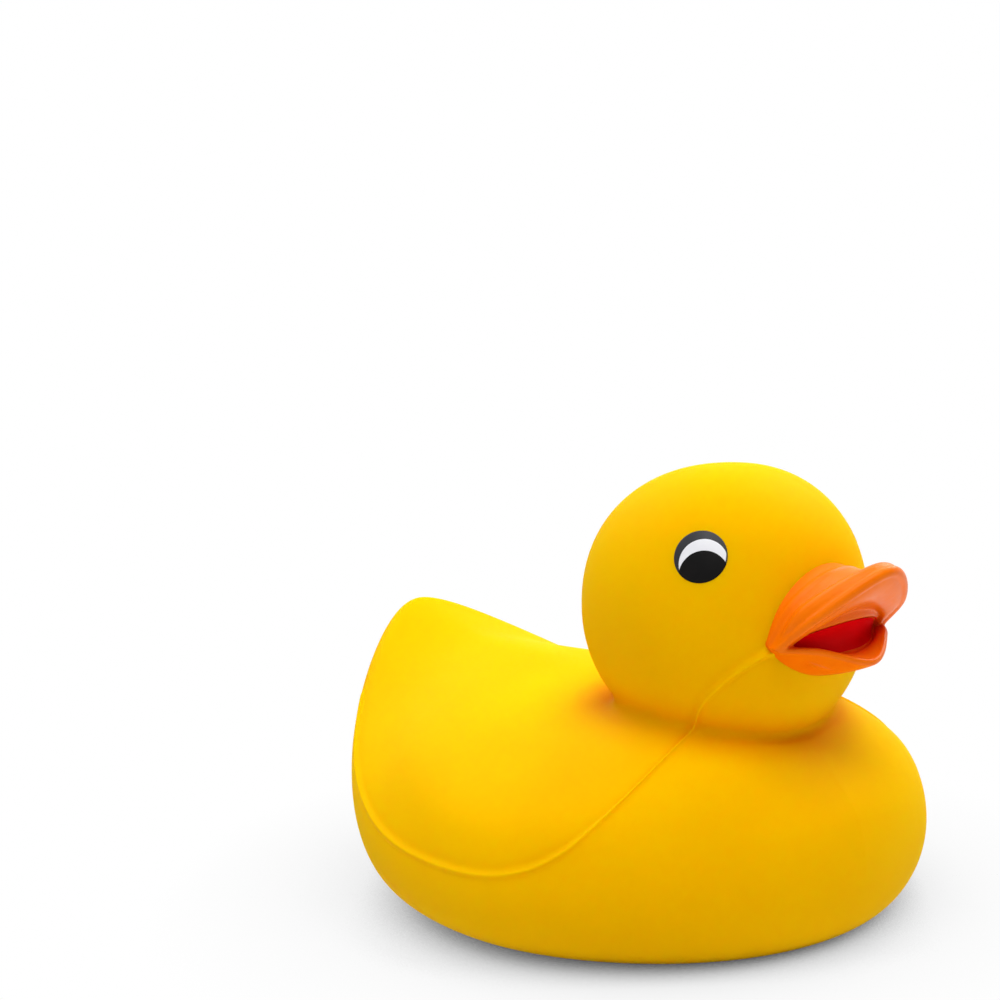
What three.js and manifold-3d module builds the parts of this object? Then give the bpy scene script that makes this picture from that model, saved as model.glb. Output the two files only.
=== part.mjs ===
// Squishy toy duck: one solid foam moulding with a painted bill, mouth and eyes.
// Millimetres. +X points to the bill, +Y to the duck's left, +Z up.
// The origin is the middle of the flat base.
import * as THREE from 'three';
import { LoftGeometry } from 'three/addons/geometries/LoftGeometry.js';
import { mergeVertices } from 'three/addons/utils/BufferGeometryUtils.js';
import Module from 'manifold-3d';

// Flat base, an egg-shaped outline centred on the origin
const BASE_LENGTH = 59.3;
const BASE_WIDTH = 45.9;
const BASE_WIDEST_X = 3.6;

// Body outline along its fullest line, seen from above
const BREAST_X = 37.1;
const TAIL_X = -47;
const BODY_WIDTH = 69.7;
const BODY_WIDEST_X = 1.1;
const TAIL_TAPER = 1.96;
const TAIL_BLUNTNESS = 0.48;

// Heights of that line: lowest at the flank, raised at the breast, swept up to the tail tip
const FLANK_Z = 11.9;
const FLANK_X = 5.0;
const BREAST_Z = 15.7;
const TAIL_Z = 34.9;
const TAIL_SWEEP = 2.95;
const TAIL_CREST = 0.7;

// Lean of the skin where it crosses that line, and the lip that opens at the tail, in degrees
const FLANK_LEAN = 107.2;
const TAIL_TOP_ANGLE = 203;
const TAIL_UNDER_ANGLE = 96.2;
const TAIL_LIP_FOCUS = 4;
const FLANK_EDGE_ROUND = 1;
const TAIL_EDGE_ROUND = 2.4;

// Pull of the profile's curves, as shares of their chords
const BELLY_PULL_BASE = 0.41;
const BELLY_PULL_FLANK = 0.51;
const BACK_PULL_FLANK = 0.26;
const TAIL_PULL_BASE = 0.44;
const TAIL_PULL_UNDER = 0.456;
const TAIL_PULL_TOP = 0.396;
const BREAST_PULL_NECK = 0.08;
const SIDE_PULL_NECK = 0.7;
const BACK_PULL_NECK = 0.8;
const BREAST_NECK_ANGLE = -0.6;
const SIDE_NECK_ANGLE = -30.3;
const BACK_NECK_ANGLE = 7.8;

// Head, an egg about the neck's axis, and the crease where the neck meets it
const NECK_X = 17.3;
const HEAD_Z = 39.3;
const HEAD_FRONT = 16.3;
const HEAD_REAR = 20.2;
const HEAD_WIDTH = 34.3;
const HEAD_TOP = 18.1;
const HEAD_UNDER = 17.8;
const HEAD_FULLNESS = 2.19;
const CROWN_CAP = 0.04;
const CREASE_FRONT_ANGLE = 51.4;
const CREASE_SIDE_ANGLE = 42.1;
const CREASE_REAR_ANGLE = 47.7;
const CREASE_FILLET = 0.8;

// Bill: a hood over the mouth and a scoop under it, rooted in one oval on the face. Both are filled:
// the palate and the scoop's floor run from a smaller oval at the back of the mouth to the rims.
const MOUTH_DROP = 1.2;
const BILL_ROOT_WIDTH = 18.4;
const BILL_SINK = 3;
const CORNER_WIDTH = 16.2;
const CORNER_SINK = 1.4;
const CORNER_OPENING = 0.4;
const LIP_PULL = 0.33;
const MOUTH_WIDTH = 13.4;
const MOUTH_SINK = 0.5;

// Hood, with its rim's place at the side and at the tip measured from the corner of the mouth, and the
// rolled edge's thickness at the corner, the side and the tip
const HOOD_ROOT_RISE = 8.5;
const HOOD_INNER_RISE = 2.3;
const HOOD_HOLLOW = 0.15;
const HOOD_SIDE_REACH = 6.9;
const HOOD_SIDE_WIDTH = 14.4;
const HOOD_SIDE_RISE = 3.7;
const HOOD_TIP_REACH = 9.0;
const HOOD_TIP_RISE = 8.6;
const HOOD_LIP = 1.6;
const HOOD_BEAD_CORNER = 2.2;
const HOOD_BEAD_SIDE = 2.6;
const HOOD_BEAD_TIP = 1.9;
const HOOD_ROOT_ANGLE = -8;
const HOOD_RIM_ANGLE = 22;

// Scoop, measured the same way
const SCOOP_ROOT_DROP = 5.2;
const SCOOP_INNER_DROP = 1.3;
const SCOOP_HOLLOW = 0.3;
const SCOOP_SIDE_REACH = 4.4;
const SCOOP_SIDE_WIDTH = 14.4;
const SCOOP_SIDE_RISE = -0.4;
const SCOOP_TIP_REACH = 7.8;
const SCOOP_TIP_RISE = -2.0;
const SCOOP_LIP = 1.1;
const SCOOP_BEAD_CORNER = 1.6;
const SCOOP_BEAD_SIDE = 1.1;
const SCOOP_BEAD_TIP = 1.1;
const SCOOP_ROOT_ANGLE = -6;
const SCOOP_RIM_ANGLE = -22;

// Mouth: the back wall inside the bill, a little before the face, and the throat pressed into it
const MOUTH_WALL = 1.8;
const THROAT_LENGTH = 5;
const THROAT_WIDTH = 13.4;
const THROAT_HEIGHT = 3.6;
const THROAT_REACH = 1.9;
const THROAT_RISE = 0.5;

// Eyes, printed in three thin films
const EYE_AZIMUTH = 60.2;
const EYE_RISE = 9.2;
const EYE_DIAMETER = 6.3;
const EYE_WHITE_DIAMETER = 6;
const EYE_WHITE_DROP = 0.75;
const EYE_WHITE_SHIFT = 0.25;
const PUPIL_DIAMETER = 5.8;
const PUPIL_DROP = 2.1;
const PUPIL_SHIFT = 0.6;
const EYE_RING = 0.22;
const FILM = 0.08;

// Parting line of the mould, raised from a step beside the tail, and the vent in the back of the head
const PARTING_WIDTH = 0.6;
const PARTING_HEIGHT = 0.25;
const PARTING_START_X = -37;
const PARTING_NECK_X = 22;
const PARTING_NECK_DROP = 12.9;
const SHOULDER_PULL = 0.66;
const CHEEK_PULL = 0.5;
const VENT_DIAMETER = 1.2;
const VENT_DEPTH = 4;
const VENT_RISE = 11.6;

// Facets of the skin
const COLUMNS = 72;
const BELLY_ROWS = 7;
const BACK_ROWS = 10;
const FILLET_ROWS = 3;
const CHEEK_ROWS = 5;
const CROWN_ROWS = 8;
const LIP_COLUMNS = 20;
const LIP_ROWS = 6;
const BEAD_STEPS = 24;
const BEAD_SEGMENTS = 10;
const WALL_RINGS = 3;
const SLIVER = 0.005;
const WALL_MIDDLE = 0.05;
const ROUND_SEGMENTS = 24;
const PARTING_STEPS = 12;

const wasm = await Module();
wasm.setup();

const MOUTH_Z = HEAD_Z - MOUTH_DROP;
const { clamp, lerp, degToRad: radians } = THREE.MathUtils;

// A value that changes smoothly around the body, by the cosine of the azimuth
function around(cosine, front, side, rear) {
  const tilt = (front - rear) / 2;
  const bow = (front + rear) / 2 - side;
  return side + tilt * cosine + bow * cosine * cosine;
}

// Distance from the axis to an egg made of two half ellipses that meet at its widest place
function eggRadius(azimuth, axisX, widestX, frontX, rearX, width) {
  const cosine = Math.cos(azimuth);
  const sine = Math.sin(azimuth);
  const centre = widestX - axisX;
  const halfWidth = width / 2;
  const reach = (length) => {
    const a = (cosine / length) ** 2 + (sine / halfWidth) ** 2;
    const b = (cosine * centre) / length ** 2;
    const c = (centre / length) ** 2 - 1;
    return (b + Math.sqrt(Math.max(b * b - a * c, 0))) / a;
  };
  const ahead = reach(frontX - widestX);
  return ahead * cosine >= centre ? ahead : reach(widestX - rearX);
}

// Body outline from above: round in front, drawn out to a point at the tail
function bodyOutline(turn) {
  const cosine = Math.cos(turn);
  const sine = Math.sin(turn);
  const length = cosine >= 0 ? BREAST_X - BODY_WIDEST_X : BODY_WIDEST_X - TAIL_X;
  const behind = THREE.MathUtils.smoothstep(-cosine, 0, 1);
  const tailWidth = lerp(Math.abs(sine) ** (TAIL_TAPER - 1), 1, TAIL_BLUNTNESS);
  const halfWidth = (BODY_WIDTH / 2) * Math.abs(sine) * lerp(1, tailWidth, behind);
  return new THREE.Vector2(BODY_WIDEST_X + length * cosine, Math.sign(sine) * halfWidth);
}

// Height of the fullest line over the place x along the body
function fullestZ(x) {
  const behind = clamp((FLANK_X - x) / (FLANK_X - TAIL_X), 0, 1);
  const ahead = THREE.MathUtils.smoothstep(x, FLANK_X, BREAST_X);
  const swept = behind ** TAIL_SWEEP * (1 + TAIL_CREST * (1 - behind));
  return FLANK_Z + (TAIL_Z - FLANK_Z) * swept + (BREAST_Z - FLANK_Z) * ahead;
}

const polar = (length, angle) => new THREE.Vector2(Math.cos(angle), Math.sin(angle)).multiplyScalar(length);

// One profile of the skin, from the base to the crown, as distances from the neck's axis and heights
function skinProfile(turn) {
  const plan = bodyOutline(turn);
  const azimuth = Math.atan2(plan.y, plan.x - NECK_X);
  const cosine = Math.cos(azimuth);
  const tail = Math.max(-cosine, 0) ** TAIL_LIP_FOCUS;
  const half = BASE_LENGTH / 2;

  const base = new THREE.Vector2(eggRadius(azimuth, NECK_X, BASE_WIDEST_X, half, -half, BASE_WIDTH), 0);
  const full = new THREE.Vector2(Math.hypot(plan.x - NECK_X, plan.y), fullestZ(plan.x));
  const headFront = NECK_X + HEAD_FRONT;
  const headRadius = eggRadius(azimuth, NECK_X, NECK_X, headFront, NECK_X - HEAD_REAR, HEAD_WIDTH);
  const creaseAngle = radians(around(cosine, CREASE_FRONT_ANGLE, CREASE_SIDE_ANGLE, CREASE_REAR_ANGLE));
  const cheekPoint = (angle) =>
    new THREE.Vector2(headRadius * Math.cos(angle), HEAD_Z - HEAD_UNDER * Math.sin(angle));
  const crease = cheekPoint(creaseAngle);

  const belly = new THREE.CubicBezierCurve(
    base,
    base.clone().add(polar(lerp(BELLY_PULL_BASE, TAIL_PULL_BASE, tail) * base.distanceTo(full), 0)),
    full.clone().sub(
      polar(
        lerp(BELLY_PULL_FLANK, TAIL_PULL_UNDER, tail) * base.distanceTo(full),
        radians(lerp(FLANK_LEAN, TAIL_UNDER_ANGLE, tail)),
      ),
    ),
    full,
  );
  const chord = full.distanceTo(crease);
  const backPull = lerp(BACK_PULL_FLANK, TAIL_PULL_TOP, tail);
  const neckPull = around(cosine, BREAST_PULL_NECK, SIDE_PULL_NECK, BACK_PULL_NECK);
  const neckAngle = around(cosine, BREAST_NECK_ANGLE, SIDE_NECK_ANGLE, BACK_NECK_ANGLE);
  const back = new THREE.CubicBezierCurve(
    full,
    full.clone().add(polar(backPull * chord, radians(lerp(FLANK_LEAN, TAIL_TOP_ANGLE, tail)))),
    crease.clone().add(polar(neckPull * chord, radians(neckAngle))),
    crease,
  );

  const points = [];
  const round = lerp(FLANK_EDGE_ROUND, TAIL_EDGE_ROUND, tail);
  const bellyEnd = 1 - round / belly.getLength();
  const backStart = round / back.getLength();
  const backEnd = 1 - CREASE_FILLET / back.getLength();
  for (let i = 0; i <= BELLY_ROWS; i++) points.push(belly.getPointAt((bellyEnd * i) / BELLY_ROWS));
  const edge = new THREE.QuadraticBezierCurve(points.at(-1), full, back.getPointAt(backStart));
  points.push(edge.getPoint(0.5));
  for (let i = 0; i <= BACK_ROWS; i++) {
    points.push(back.getPointAt(lerp(backStart, backEnd, i / BACK_ROWS)));
  }
  const cheekStart = creaseAngle - CREASE_FILLET / Math.hypot(crease.x, HEAD_UNDER * Math.sin(creaseAngle));
  const fillet = new THREE.QuadraticBezierCurve(points.at(-1), crease, cheekPoint(cheekStart));
  for (let i = 1; i <= FILLET_ROWS; i++) points.push(fillet.getPoint(i / FILLET_ROWS));
  for (let i = 1; i <= CHEEK_ROWS; i++) points.push(cheekPoint(cheekStart * (1 - i / CHEEK_ROWS)));
  const power = 2 / HEAD_FULLNESS;
  for (let i = 1; i < CROWN_ROWS; i++) {
    const angle = ((i / CROWN_ROWS) * Math.PI) / 2;
    points.push(
      new THREE.Vector2(headRadius * Math.cos(angle) ** power, HEAD_Z + HEAD_TOP * Math.sin(angle) ** power),
    );
  }
  points.push(new THREE.Vector2(headRadius * CROWN_CAP, HEAD_Z + HEAD_TOP));
  return points.map(
    (p) => new THREE.Vector3(NECK_X + p.x * Math.cos(azimuth), p.x * Math.sin(azimuth), p.y),
  );
}

// The skin's rings, from the base up
function skinRings() {
  const profiles = [];
  for (let j = 0; j < COLUMNS; j++) profiles.push(skinProfile((j / COLUMNS) * 2 * Math.PI));
  return profiles[0].map((_, row) => profiles.map((profile) => profile[row]));
}

// The same rings pushed out along the skin's own normals
function swollenRings(rings, height) {
  return rings.map((ring, i) =>
    ring.map((point, j) => {
      const along = ring[(j + 1) % COLUMNS].clone().sub(ring[(j + COLUMNS - 1) % COLUMNS]);
      const below = rings[Math.max(i - 1, 0)][j];
      const above = rings[Math.min(i + 1, rings.length - 1)][j];
      const normal = along.cross(above.clone().sub(below)).normalize();
      return point.clone().addScaledVector(normal, height);
    }),
  );
}

// Closed geometry to solid
function solidOf(geometry) {
  const bare = new THREE.BufferGeometry();
  bare.setAttribute('position', geometry.attributes.position);
  bare.setIndex(geometry.index);
  const merged = mergeVertices(bare, 1e-4);
  return new wasm.Manifold(
    new wasm.Mesh({
      numProp: 3,
      vertProperties: new Float32Array(merged.attributes.position.array),
      triVerts: new Uint32Array(merged.index.array),
    }),
  );
}

const loftSolid = (rings) => solidOf(new LoftGeometry(rings, { capStart: true, capEnd: true }));

function ellipsoid(centre, length, width, height) {
  const geometry = new THREE.SphereGeometry(0.5, ROUND_SEGMENTS, ROUND_SEGMENTS / 2);
  geometry.scale(length, width, height).translate(centre.x, centre.y, centre.z);
  return solidOf(geometry);
}

// A round bar that stands on a point along a direction, from `below` under it to `above` over it
function roundBar(point, direction, diameter, below, above) {
  const bar = new THREE.CylinderGeometry(diameter / 2, diameter / 2, below + above, ROUND_SEGMENTS);
  bar.translate(0, (above - below) / 2, 0);
  const turn = new THREE.Quaternion().setFromUnitVectors(new THREE.Vector3(0, 1, 0), direction);
  bar.applyQuaternion(turn).translate(point.x, point.y, point.z);
  return solidOf(bar);
}

// Colours, and which solid carries which
const materials = [];
const materialOf = new Map();
function finish(name, color, roughness) {
  materials.push(new THREE.MeshStandardMaterial({ name, color, roughness, metalness: 0 }));
  return materials.length - 1;
}
const FOAM = finish('foam_skin', 0xfcd000, 0.6);
const BILL_PAINT = finish('bill_paint', 0xf87400, 0.35);
const MOUTH_PAINT = finish('mouth_paint', 0xb40400, 0.4);
const EYE_BLACK = finish('eye_black', 0x161616, 0.4);
const EYE_WHITE = finish('eye_white', 0xe8e6ec, 0.4);
function painted(solid, material) {
  const original = solid.asOriginal();
  materialOf.set(original.originalID(), material);
  return original;
}

// Place and outward direction on the upper half of the head
function headPlace(azimuthDegrees, rise) {
  const azimuth = radians(azimuthDegrees);
  const length = Math.cos(azimuth) >= 0 ? HEAD_FRONT : HEAD_REAR;
  const level = (1 - (rise / HEAD_TOP) ** HEAD_FULLNESS) ** (1 / HEAD_FULLNESS);
  const radius = eggRadius(azimuth, NECK_X, NECK_X, NECK_X + HEAD_FRONT, NECK_X - HEAD_REAR, HEAD_WIDTH);
  const offset = new THREE.Vector3(Math.cos(azimuth), Math.sin(azimuth), 0).multiplyScalar(radius * level);
  const normal = new THREE.Vector3(
    offset.x / length ** 2,
    offset.y / (HEAD_WIDTH / 2) ** 2,
    rise / HEAD_TOP ** 2,
  ).normalize();
  return { point: new THREE.Vector3(NECK_X, 0, HEAD_Z + rise).add(offset), normal };
}

// Front of the head at a place on the face
function faceX(y, z) {
  const height = z >= HEAD_Z ? HEAD_TOP : HEAD_UNDER;
  const rest = 1 - (y / (HEAD_WIDTH / 2)) ** 2 - ((z - HEAD_Z) / height) ** 2;
  return NECK_X + HEAD_FRONT * Math.sqrt(Math.max(rest, 0));
}

// Rim of one half of the bill, from the right corner of the mouth over the tip to the left corner
function rimCurve(cornerRise, sideReach, sideWidth, sideRise, tipReach, tipRise) {
  const cornerX = faceX(CORNER_WIDTH / 2, MOUTH_Z) - CORNER_SINK;
  const place = (reach, y, rise) => new THREE.Vector3(cornerX + reach, y, MOUTH_Z + rise);
  return new THREE.CatmullRomCurve3([
    place(0, -CORNER_WIDTH / 2, cornerRise),
    place(sideReach, -sideWidth / 2, sideRise),
    place(tipReach, 0, tipRise),
    place(sideReach, sideWidth / 2, sideRise),
    place(0, CORNER_WIDTH / 2, cornerRise),
  ]);
}

// The wall at the back of the mouth: the face grown forward inside the bill's root, and falling back
// to the face at the corners
const WALL_HALF_WIDTH = BILL_ROOT_WIDTH / 2 - HOOD_LIP;
const wallX = (y, z) => faceX(y, z) + MOUTH_WALL * (1 - (y / WALL_HALF_WIDTH) ** 2);
function mouthWall() {
  const rise = HOOD_ROOT_RISE - HOOD_LIP;
  const drop = SCOOP_ROOT_DROP - SCOOP_LIP;
  const ring = (share, frontAt) => {
    const points = [];
    for (let j = 0; j < ROUND_SEGMENTS; j++) {
      const angle = (j / ROUND_SEGMENTS) * 2 * Math.PI;
      const y = share * WALL_HALF_WIDTH * Math.cos(angle);
      const z = MOUTH_Z + (rise - drop) / 2 + ((share * (rise + drop)) / 2) * Math.sin(angle);
      points.push(new THREE.Vector3(frontAt(y, z), y, z));
    }
    return points;
  };
  const rings = [ring(1, (y, z) => faceX(y, z) - BILL_SINK)];
  for (let i = 0; i <= WALL_RINGS; i++) rings.push(ring(lerp(1, WALL_MIDDLE, i / WALL_RINGS), wallX));
  return loftSolid(rings);
}

// One half of the bill: from the oval root on the face to a rim with a round edge, filled between its
// curved outer sheet and the palate or floor. The side is +1 for the hood over the mouth and -1 for
// the scoop under it. The angles give the lean of the sheet out from the bill's length, where it
// leaves the root and where it meets the rim.
function lip({ side, rootRise, innerRise, rim, thickness, edgeAt, rootAngle, rimAngle, hollow }) {
  const half = thickness / 2;
  const columns = [];
  for (let i = 0; i <= LIP_COLUMNS; i++) {
    const turn = (i / LIP_COLUMNS - 0.5) * Math.PI;
    const out = new THREE.Vector3(
      0,
      rootRise * Math.sin(turn),
      (side * BILL_ROOT_WIDTH * Math.cos(turn)) / 2,
    ).normalize();
    const root = new THREE.Vector3(
      0,
      (BILL_ROOT_WIDTH / 2) * Math.sin(turn),
      MOUTH_Z + side * rootRise * Math.cos(turn),
    ).addScaledVector(out, -half);
    root.x = faceX(root.y, root.z) - BILL_SINK;
    const end = rim.getPoint(i / LIP_COLUMNS);
    const pull = LIP_PULL * root.distanceTo(end);
    const lean = (degrees) =>
      new THREE.Vector3(Math.cos(radians(degrees)), 0, 0).addScaledVector(out, Math.sin(radians(degrees)));
    const sheet = new THREE.CubicBezierCurve3(
      root,
      root.clone().addScaledVector(lean(rootAngle), pull),
      end.clone().addScaledVector(lean(rimAngle), -pull),
      end,
    );
    const normalAt = (along) => out.clone().projectOnPlane(sheet.getTangent(along)).normalize();
    const innerRoot = new THREE.Vector3(
      0,
      (MOUTH_WIDTH / 2) * Math.sin(turn),
      MOUTH_Z + side * innerRise * Math.cos(turn),
    );
    innerRoot.x = wallX(innerRoot.y, innerRoot.z) - MOUTH_SINK;
    const innerEnd = end.clone().addScaledVector(normalAt(1), -edgeAt(i / LIP_COLUMNS) / 2);
    const bend = innerRoot.clone().lerp(innerEnd, 0.5).addScaledVector(out, hollow);
    const inner = new THREE.QuadraticBezierCurve3(innerRoot, bend, innerEnd);
    const outerAt = (along) => sheet.getPoint(along).addScaledVector(normalAt(along), half);
    columns.push({ outerAt, innerAt: (along) => inner.getPoint(along) });
  }
  const rings = [];
  for (let i = 0; i <= LIP_ROWS; i++) {
    const along = i / LIP_ROWS;
    const outer = columns.map((column) => column.outerAt(along));
    const inner = columns.map((column) => column.innerAt(along));
    const loop = [...outer, ...inner.reverse()];
    rings.push(side > 0 ? loop.reverse() : loop);
  }
  return loftSolid(rings);
}

// The round bead that finishes a rim
function bead(rim, edgeAt) {
  const { tangents, normals, binormals } = rim.computeFrenetFrames(BEAD_STEPS);
  const rings = tangents.map((_, i) => {
    const share = rim.getUtoTmapping(i / BEAD_STEPS);
    const radius = edgeAt(share) / 2;
    const ring = [];
    for (let j = 0; j < BEAD_SEGMENTS; j++) {
      const angle = (j / BEAD_SEGMENTS) * 2 * Math.PI;
      ring.push(
        rim
          .getPoint(share)
          .addScaledVector(normals[i], radius * Math.cos(angle))
          .addScaledVector(binormals[i], radius * Math.sin(angle)),
      );
    }
    return ring;
  });
  return loftSolid(rings);
}

function hood() {
  const rim = rimCurve(
    CORNER_OPENING / 2,
    HOOD_SIDE_REACH,
    HOOD_SIDE_WIDTH,
    HOOD_SIDE_RISE,
    HOOD_TIP_REACH,
    HOOD_TIP_RISE,
  );
  const edgeAt = (share) =>
    around(Math.cos(2 * Math.PI * share), HOOD_BEAD_CORNER, HOOD_BEAD_SIDE, HOOD_BEAD_TIP);
  const sheet = lip({
    side: 1,
    rootRise: HOOD_ROOT_RISE,
    innerRise: HOOD_INNER_RISE,
    rim,
    thickness: HOOD_LIP,
    edgeAt,
    rootAngle: HOOD_ROOT_ANGLE,
    rimAngle: HOOD_RIM_ANGLE,
    hollow: HOOD_HOLLOW,
  });
  return sheet.add(bead(rim, edgeAt));
}

function scoop() {
  const rim = rimCurve(
    -CORNER_OPENING / 2,
    SCOOP_SIDE_REACH,
    SCOOP_SIDE_WIDTH,
    SCOOP_SIDE_RISE,
    SCOOP_TIP_REACH,
    SCOOP_TIP_RISE,
  );
  const edgeAt = (share) =>
    around(Math.cos(2 * Math.PI * share), SCOOP_BEAD_CORNER, SCOOP_BEAD_SIDE, SCOOP_BEAD_TIP);
  const sheet = lip({
    side: -1,
    rootRise: SCOOP_ROOT_DROP,
    innerRise: SCOOP_INNER_DROP,
    rim,
    thickness: SCOOP_LIP,
    edgeAt,
    rootAngle: SCOOP_ROOT_ANGLE,
    rimAngle: SCOOP_RIM_ANGLE,
    hollow: SCOOP_HOLLOW,
  });
  return sheet.add(bead(rim, edgeAt));
}

function throat() {
  const centre = new THREE.Vector3(faceX(0, MOUTH_Z) + THROAT_REACH, 0, MOUTH_Z + THROAT_RISE);
  return painted(ellipsoid(centre, THROAT_LENGTH, THROAT_WIDTH, THROAT_HEIGHT), MOUTH_PAINT);
}

// One eye: a black disc, a white disc set lower and further forward in it, and a black pupil set
// lower and further forward still
function eye(rings, side) {
  const { point, normal } = headPlace(side * EYE_AZIMUTH, EYE_RISE);
  const down = new THREE.Vector3(0, 0, -1).projectOnPlane(normal).normalize();
  const ahead = normal.clone().cross(down).multiplyScalar(-side);
  const bar = (diameter, drop, shift) => {
    const centre = point.clone().addScaledVector(down, drop).addScaledVector(ahead, shift);
    return roundBar(centre, normal, diameter, EYE_DIAMETER / 2, EYE_DIAMETER / 2);
  };
  const film = (layer) => loftSolid(swollenRings(rings, layer * FILM));
  const disc = bar(EYE_DIAMETER, 0, 0);
  const inner = bar(EYE_DIAMETER - 2 * EYE_RING, 0, 0);
  const white = bar(EYE_WHITE_DIAMETER, EYE_WHITE_DROP, EYE_WHITE_SHIFT).intersect(inner);
  const pupil = bar(PUPIL_DIAMETER, PUPIL_DROP, PUPIL_SHIFT).intersect(disc);
  return [
    painted(film(1).intersect(disc), EYE_BLACK),
    painted(film(2).intersect(white), EYE_WHITE),
    painted(film(3).intersect(pupil), EYE_BLACK),
  ];
}

// The parting line seen from the side: along the body's fullest line, up the shoulder to the neck
// and on to the corner of the mouth
function partingCurve(rings) {
  const raised = (point) => point.y <= 0 && point.x > PARTING_START_X && point.x < FLANK_X;
  const edge = rings[BELLY_ROWS + 1].filter(raised);
  const sweep = edge.map((point) => new THREE.Vector2(point.x, point.z)).sort((p, q) => p.x - q.x);
  const flank = new THREE.Vector2(FLANK_X, FLANK_Z);
  const neck = new THREE.Vector2(PARTING_NECK_X, HEAD_Z - PARTING_NECK_DROP);
  const corner = new THREE.Vector2(faceX(CORNER_WIDTH / 2, MOUTH_Z), MOUTH_Z);
  const shoulder = new THREE.CubicBezierCurve(
    flank,
    flank.clone().setX(lerp(flank.x, neck.x, SHOULDER_PULL)),
    neck.clone().setY(lerp(neck.y, flank.y, SHOULDER_PULL)),
    neck,
  );
  const bend = neck.clone().lerp(corner, CHEEK_PULL).setX(neck.x);
  const cheek = new THREE.QuadraticBezierCurve(neck, bend, corner);
  const rise = shoulder.getSpacedPoints(PARTING_STEPS);
  return [...sweep, ...rise, ...cheek.getSpacedPoints(PARTING_STEPS / 2).slice(1)];
}

// Raised parting line: a thin sheet across the toy, trimmed to the skin grown by the ridge's height
function partingRidge(rings) {
  const curve = partingCurve(rings);
  const left = [];
  const right = [];
  curve.forEach((point, i) => {
    const ahead = curve[Math.min(i + 1, curve.length - 1)];
    const behind = curve[Math.max(i - 1, 0)];
    const across = ahead.clone().sub(behind).normalize().rotateAround(new THREE.Vector2(), Math.PI / 2);
    left.push(point.clone().addScaledVector(across, PARTING_WIDTH / 2));
    right.unshift(point.clone().addScaledVector(across, -PARTING_WIDTH / 2));
  });
  const depth = 2 * BODY_WIDTH;
  const outline = new THREE.Shape([...left, ...right]);
  const sheet = new THREE.ExtrudeGeometry(outline, { depth, bevelEnabled: false });
  sheet.translate(0, 0, -depth / 2).rotateX(Math.PI / 2);
  const ridge = loftSolid(swollenRings(rings, PARTING_HEIGHT)).intersect(solidOf(sheet));
  return painted(ridge, FOAM);
}

function vent() {
  const { point, normal } = headPlace(180, VENT_RISE);
  return painted(roundBar(point, normal, VENT_DIAMETER, VENT_DEPTH, VENT_DEPTH), FOAM);
}

// The toy without the small hollows closed in where the lips meet the face, and without slivers
function filled(solid) {
  const shells = solid.decompose();
  const largest = shells.reduce((most, shell) => (shell.volume() > most.volume() ? shell : most));
  return largest.simplify(SLIVER);
}

// The finished solid as one mesh, with one group of faces for each colour
function meshOf(solid, name) {
  const { vertProperties, triVerts, runIndex, runOriginalID } = solid.getMesh();
  const geometry = new THREE.BufferGeometry();
  geometry.setAttribute('position', new THREE.BufferAttribute(new Float32Array(vertProperties), 3));
  geometry.setIndex(new THREE.BufferAttribute(new Uint32Array(triVerts), 1));
  runOriginalID.forEach((id, run) => {
    geometry.addGroup(runIndex[run], runIndex[run + 1] - runIndex[run], materialOf.get(id));
  });
  geometry.computeVertexNormals();
  const mesh = new THREE.Mesh(geometry, materials);
  mesh.name = name;
  return mesh;
}

function duck() {
  const rings = skinRings();
  let body = painted(loftSolid(rings), FOAM).add(partingRidge(rings));
  body = body.add(painted(mouthWall(), BILL_PAINT)).subtract(throat());
  body = body.add(painted(hood().add(scoop()), BILL_PAINT)).subtract(vent());
  for (const side of [1, -1]) {
    for (const film of eye(rings, side)) body = body.add(film);
  }
  return meshOf(filled(body), 'duck');
}

const model = new THREE.Group();
model.name = 'squishy_duck';
model.add(duck());

export default model;
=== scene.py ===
"""Squishy toy duck: a soft foam moulding with a painted bill and mouth and printed eyes."""

import math

import bpy
import numpy as np
from mathutils import Matrix, Vector


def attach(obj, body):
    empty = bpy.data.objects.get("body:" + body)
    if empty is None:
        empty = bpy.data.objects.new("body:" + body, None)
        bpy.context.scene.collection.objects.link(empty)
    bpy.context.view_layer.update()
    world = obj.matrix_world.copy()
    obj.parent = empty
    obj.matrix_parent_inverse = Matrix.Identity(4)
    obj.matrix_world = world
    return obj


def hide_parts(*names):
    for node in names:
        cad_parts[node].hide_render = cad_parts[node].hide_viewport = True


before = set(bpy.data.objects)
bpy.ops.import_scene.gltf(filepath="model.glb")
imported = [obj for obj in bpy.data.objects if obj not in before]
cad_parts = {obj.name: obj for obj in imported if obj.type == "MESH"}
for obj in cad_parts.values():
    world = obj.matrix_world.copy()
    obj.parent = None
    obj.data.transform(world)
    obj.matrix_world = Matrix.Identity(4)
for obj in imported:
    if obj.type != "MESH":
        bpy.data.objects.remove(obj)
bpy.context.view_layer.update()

# Sizes below are in millimetres, and meshes are made in metres
MM = 0.001

# Flat base, an egg-shaped outline centred on the origin
BASE_LENGTH = 59.3
BASE_WIDTH = 45.9
BASE_WIDEST_X = 3.6

# Body outline along its fullest line, seen from above
BREAST_X = 37.1
TAIL_X = -47.0
BODY_WIDTH = 69.7
BODY_WIDEST_X = 1.1
TAIL_TAPER = 1.96
TAIL_BLUNTNESS = 0.48

# Heights of that line: lowest at the flank, raised at the breast, swept up to the tail tip
FLANK_Z = 11.9
FLANK_X = 5.0
BREAST_Z = 15.7
TAIL_Z = 34.9
TAIL_SWEEP = 2.95
TAIL_CREST = 0.7

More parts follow.
